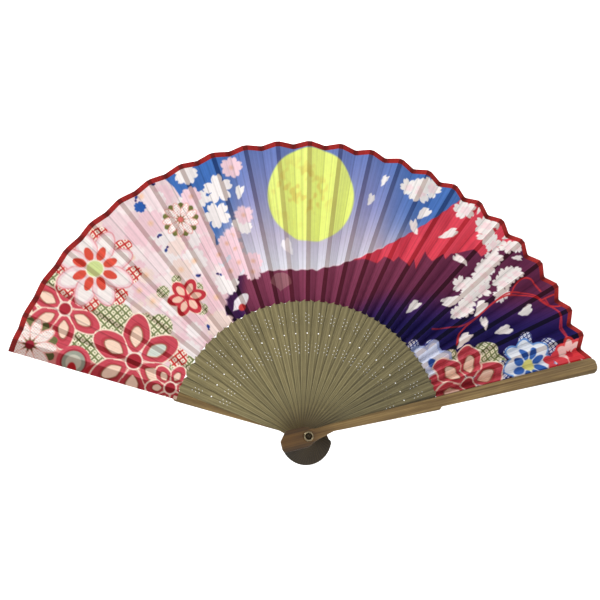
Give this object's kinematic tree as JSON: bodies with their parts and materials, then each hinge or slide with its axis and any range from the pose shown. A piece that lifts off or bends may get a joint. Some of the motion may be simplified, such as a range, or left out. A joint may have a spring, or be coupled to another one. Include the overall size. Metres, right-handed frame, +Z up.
{
  "type": "folding hand fan",
  "caption": "Folding hand fan with a pleated printed cloth leaf on flat bamboo ribs between two wooden guards, all hinged on one rivet and modelled open.",
  "frame": {"origin": "centre of the rivet's flat rear face, on the axis that every stick turns about", "axes": "+Z up through the middle of the open leaf, X across it, -Y towards the front of the fan along the rivet"},
  "size_m": [0.3701, 0.025, 0.2081],
  "materials": {
    "guard_wood": "smooth brown bamboo with a satin surface",
    "bamboo": "thin olive-stained bamboo strips with lengthwise grain",
    "leaf_cloth": "fine printed plain-weave cloth with a dark red bound edge",
    "rivet_metal": "polished metal"
  },
  "bodies": {
    "rear_guard": {"rear_guard": "guard_wood", "leaf_pleat_01": "leaf_cloth", "rivet_rear_cap": "rivet_metal", "rivet_pin": "rivet_metal", "rivet_front_washer": "rivet_metal"},
    "rib_01": {"rib_01": "bamboo", "leaf_pleat_02": "leaf_cloth"},
    "rib_02": {"rib_02": "bamboo", "leaf_pleat_03": "leaf_cloth"},
    "rib_03": {"rib_03": "bamboo", "leaf_pleat_04": "leaf_cloth"},
    "rib_04": {"rib_04": "bamboo", "leaf_pleat_05": "leaf_cloth"},
    "rib_05": {"rib_05": "bamboo", "leaf_pleat_06": "leaf_cloth"},
    "rib_06": {"rib_06": "bamboo", "leaf_pleat_07": "leaf_cloth"},
    "rib_07": {"rib_07": "bamboo", "leaf_pleat_08": "leaf_cloth"},
    "rib_08": {"rib_08": "bamboo", "leaf_pleat_09": "leaf_cloth"},
    "rib_09": {"rib_09": "bamboo", "leaf_pleat_10": "leaf_cloth"},
    "rib_10": {"rib_10": "bamboo", "leaf_pleat_11": "leaf_cloth"},
    "rib_11": {"rib_11": "bamboo", "leaf_pleat_12": "leaf_cloth"},
    "rib_12": {"rib_12": "bamboo", "leaf_pleat_13": "leaf_cloth"},
    "rib_13": {"rib_13": "bamboo", "leaf_pleat_14": "leaf_cloth"},
    "rib_14": {"rib_14": "bamboo", "leaf_pleat_15": "leaf_cloth"},
    "rib_15": {"rib_15": "bamboo", "leaf_pleat_16": "leaf_cloth"},
    "rib_16": {"rib_16": "bamboo", "leaf_pleat_17": "leaf_cloth"},
    "rib_17": {"rib_17": "bamboo", "leaf_pleat_18": "leaf_cloth"},
    "rib_18": {"rib_18": "bamboo", "leaf_pleat_19": "leaf_cloth"},
    "rib_19": {"rib_19": "bamboo", "leaf_pleat_20": "leaf_cloth"},
    "rib_20": {"rib_20": "bamboo", "leaf_pleat_21": "leaf_cloth"},
    "rib_21": {"rib_21": "bamboo", "leaf_pleat_22": "leaf_cloth"},
    "rib_22": {"rib_22": "bamboo", "leaf_pleat_23": "leaf_cloth"},
    "rib_23": {"rib_23": "bamboo", "leaf_pleat_24": "leaf_cloth"},
    "front_guard": {"front_guard": "guard_wood"}
  },
  "joints": [
    {"name": "rib_01_pivot", "type": "hinge", "parent": "rear_guard", "child": "rib_01", "pos_m": [0, 0, 0], "axis": [0, -1, 0], "range_deg": [0, 6.2], "deforming": ["leaf_pleat_01"]},
    {"name": "rib_02_pivot", "type": "hinge", "parent": "rib_01", "child": "rib_02", "pos_m": [0, 0, 0], "axis": [0, -1, 0], "range_deg": [0, 7.2], "deforming": ["leaf_pleat_02"]},
    {"name": "rib_03_pivot", "type": "hinge", "parent": "rib_02", "child": "rib_03", "pos_m": [0, 0, 0], "axis": [0, -1, 0], "range_deg": [0, 7.11], "deforming": ["leaf_pleat_03"]},
    {"name": "rib_04_pivot", "type": "hinge", "parent": "rib_03", "child": "rib_04", "pos_m": [0, 0, 0], "axis": [0, -1, 0], "range_deg": [0, 7.01], "deforming": ["leaf_pleat_04"]},
    {"name": "rib_05_pivot", "type": "hinge", "parent": "rib_04", "child": "rib_05", "pos_m": [0, 0, 0], "axis": [0, -1, 0], "range_deg": [0, 6.92], "deforming": ["leaf_pleat_05"]},
    {"name": "rib_06_pivot", "type": "hinge", "parent": "rib_05", "child": "rib_06", "pos_m": [0, 0, 0], "axis": [0, -1, 0], "range_deg": [0, 6.82], "deforming": ["leaf_pleat_06"]},
    {"name": "rib_07_pivot", "type": "hinge", "parent": "rib_06", "child": "rib_07", "pos_m": [0, 0, 0], "axis": [0, -1, 0], "range_deg": [0, 6.73], "deforming": ["leaf_pleat_07"]},
    {"name": "rib_08_pivot", "type": "hinge", "parent": "rib_07", "child": "rib_08", "pos_m": [0, 0, 0], "axis": [0, -1, 0], "range_deg": [0, 6.64], "deforming": ["leaf_pleat_08"]},
    {"name": "rib_09_pivot", "type": "hinge", "parent": "rib_08", "child": "rib_09", "pos_m": [0, 0, 0], "axis": [0, -1, 0], "range_deg": [0, 6.54], "deforming": ["leaf_pleat_09"]},
    {"name": "rib_10_pivot", "type": "hinge", "parent": "rib_09", "child": "rib_10", "pos_m": [0, 0, 0], "axis": [0, -1, 0], "range_deg": [0, 6.45], "deforming": ["leaf_pleat_10"]},
    {"name": "rib_11_pivot", "type": "hinge", "parent": "rib_10", "child": "rib_11", "pos_m": [0, 0, 0], "axis": [0, -1, 0], "range_deg": [0, 6.35], "deforming": ["leaf_pleat_11"]},
    {"name": "rib_12_pivot", "type": "hinge", "parent": "rib_11", "child": "rib_12", "pos_m": [0, 0, 0], "axis": [0, -1, 0], "range_deg": [0, 6.26], "deforming": ["leaf_pleat_12"]},
    {"name": "rib_13_pivot", "type": "hinge", "parent": "rib_12", "child": "rib_13", "pos_m": [0, 0, 0], "axis": [0, -1, 0], "range_deg": [0, 6.17], "deforming": ["leaf_pleat_13"]},
    {"name": "rib_14_pivot", "type": "hinge", "parent": "rib_13", "child": "rib_14", "pos_m": [0, 0, 0], "axis": [0, -1, 0], "range_deg": [0, 6.07], "deforming": ["leaf_pleat_14"]},
    {"name": "rib_15_pivot", "type": "hinge", "parent": "rib_14", "child": "rib_15", "pos_m": [0, 0, 0], "axis": [0, -1, 0], "range_deg": [0, 5.98], "deforming": ["leaf_pleat_15"]},
    {"name": "rib_16_pivot", "type": "hinge", "parent": "rib_15", "child": "rib_16", "pos_m": [0, 0, 0], "axis": [0, -1, 0], "range_deg": [0, 5.88], "deforming": ["leaf_pleat_16"]},
    {"name": "rib_17_pivot", "type": "hinge", "parent": "rib_16", "child": "rib_17", "pos_m": [0, 0, 0], "axis": [0, -1, 0], "range_deg": [0, 5.79], "deforming": ["leaf_pleat_17"]},
    {"name": "rib_18_pivot", "type": "hinge", "parent": "rib_17", "child": "rib_18", "pos_m": [0, 0, 0], "axis": [0, -1, 0], "range_deg": [0, 5.7], "deforming": ["leaf_pleat_18"]},
    {"name": "rib_19_pivot", "type": "hinge", "parent": "rib_18", "child": "rib_19", "pos_m": [0, 0, 0], "axis": [0, -1, 0], "range_deg": [0, 5.6], "deforming": ["leaf_pleat_19"]},
    {"name": "rib_20_pivot", "type": "hinge", "parent": "rib_19", "child": "rib_20", "pos_m": [0, 0, 0], "axis": [0, -1, 0], "range_deg": [0, 5.51], "deforming": ["leaf_pleat_20"]},
    {"name": "rib_21_pivot", "type": "hinge", "parent": "rib_20", "child": "rib_21", "pos_m": [0, 0, 0], "axis": [0, -1, 0], "range_deg": [0, 5.41], "deforming": ["leaf_pleat_21"]},
    {"name": "rib_22_pivot", "type": "hinge", "parent": "rib_21", "child": "rib_22", "pos_m": [0, 0, 0], "axis": [0, -1, 0], "range_deg": [0, 5.32], "deforming": ["leaf_pleat_22"]},
    {"name": "rib_23_pivot", "type": "hinge", "parent": "rib_22", "child": "rib_23", "pos_m": [0, 0, 0], "axis": [0, -1, 0], "range_deg": [0, 5.23], "deforming": ["leaf_pleat_23"]},
    {"name": "front_guard_pivot", "type": "hinge", "parent": "rib_23", "child": "front_guard", "pos_m": [0, 0, 0], "axis": [0, -1, 0], "range_deg": [0, 6.2], "deforming": ["leaf_pleat_24"]}
  ],
  "couplings": [
    {"joint": "rib_02_pivot", "follows": "rib_01_pivot", "ratio": 1.1613},
    {"joint": "rib_03_pivot", "follows": "rib_01_pivot", "ratio": 1.1461},
    {"joint": "rib_04_pivot", "follows": "rib_01_pivot", "ratio": 1.131},
    {"joint": "rib_05_pivot", "follows": "rib_01_pivot", "ratio": 1.1158},
    {"joint": "rib_06_pivot", "follows": "rib_01_pivot", "ratio": 1.1006},
    {"joint": "rib_07_pivot", "follows": "rib_01_pivot", "ratio": 1.0855},
    {"joint": "rib_08_pivot", "follows": "rib_01_pivot", "ratio": 1.0703},
    {"joint": "rib_09_pivot", "follows": "rib_01_pivot", "ratio": 1.0552},
    {"joint": "rib_10_pivot", "follows": "rib_01_pivot", "ratio": 1.04},
    {"joint": "rib_11_pivot", "follows": "rib_01_pivot", "ratio": 1.0248},
    {"joint": "rib_12_pivot", "follows": "rib_01_pivot", "ratio": 1.0097},
    {"joint": "rib_13_pivot", "follows": "rib_01_pivot", "ratio": 0.99452},
    {"joint": "rib_14_pivot", "follows": "rib_01_pivot", "ratio": 0.97935},
    {"joint": "rib_15_pivot", "follows": "rib_01_pivot", "ratio": 0.96419},
    {"joint": "rib_16_pivot", "follows": "rib_01_pivot", "ratio": 0.94903},
    {"joint": "rib_17_pivot", "follows": "rib_01_pivot", "ratio": 0.93387},
    {"joint": "rib_18_pivot", "follows": "rib_01_pivot", "ratio": 0.91871},
    {"joint": "rib_19_pivot", "follows": "rib_01_pivot", "ratio": 0.90355},
    {"joint": "rib_20_pivot", "follows": "rib_01_pivot", "ratio": 0.88839},
    {"joint": "rib_21_pivot", "follows": "rib_01_pivot", "ratio": 0.87323},
    {"joint": "rib_22_pivot", "follows": "rib_01_pivot", "ratio": 0.85806},
    {"joint": "rib_23_pivot", "follows": "rib_01_pivot", "ratio": 0.8429},
    {"joint": "front_guard_pivot", "follows": "rib_01_pivot", "ratio": 1}
  ]
}
